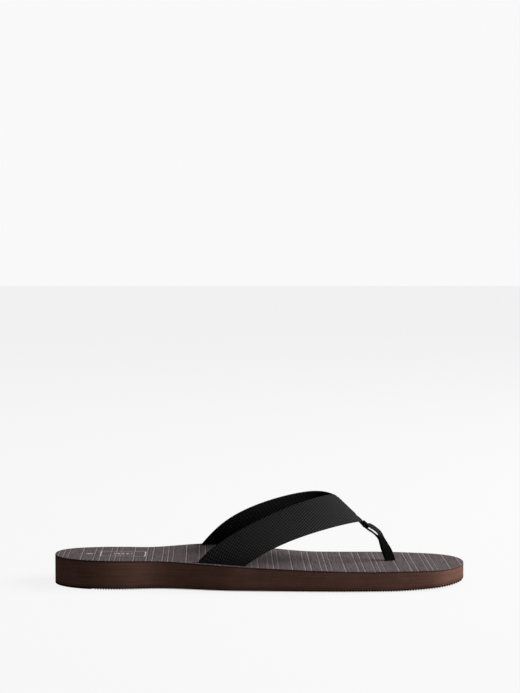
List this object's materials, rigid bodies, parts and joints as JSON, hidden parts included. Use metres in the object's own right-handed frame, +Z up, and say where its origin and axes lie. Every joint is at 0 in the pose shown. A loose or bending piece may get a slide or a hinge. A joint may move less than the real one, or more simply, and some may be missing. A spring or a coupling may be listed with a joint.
{
  "type": "flip flop",
  "caption": "Thong sandal with a wedge foam sole, a striped printed footbed, woven webbing straps joined in a V over the foot and a folded toe tape held in the sole.",
  "frame": {"origin": "bottom centre of the sandal's bounding box, on the ground under the outsole", "axes": "+X from heel to toe, +Y from the lateral edge to the medial edge (big toe side) of this right-foot sandal, +Z up"},
  "size_m": [0.29, 0.103, 0.0628],
  "materials": {
    "outsole_rubber": "matt dark brown rubber",
    "midsole_foam": "matt dark brown foam, cut and buffed side wall",
    "footbed_print": "matt warm grey-brown, fine canvas grain with thin pale cross stripes",
    "webbing": "black twill webbing",
    "tape": "black ribbed tape",
    "bar_plastic": "black moulded plastic",
    "thread": "black twisted thread"
  },
  "bodies": {
    "root": {"outsole": "outsole_rubber", "midsole": "midsole_foam", "footbed": "footbed_print", "lateral_strap": "webbing", "medial_strap": "webbing", "toe_tape": "tape", "toe_anchor_bar": "bar_plastic", "seam_top_thread": "thread", "seam_under_thread": "thread", "tape_tack_top": "thread", "tape_tack_under": "thread"}
  },
  "joints": []
}
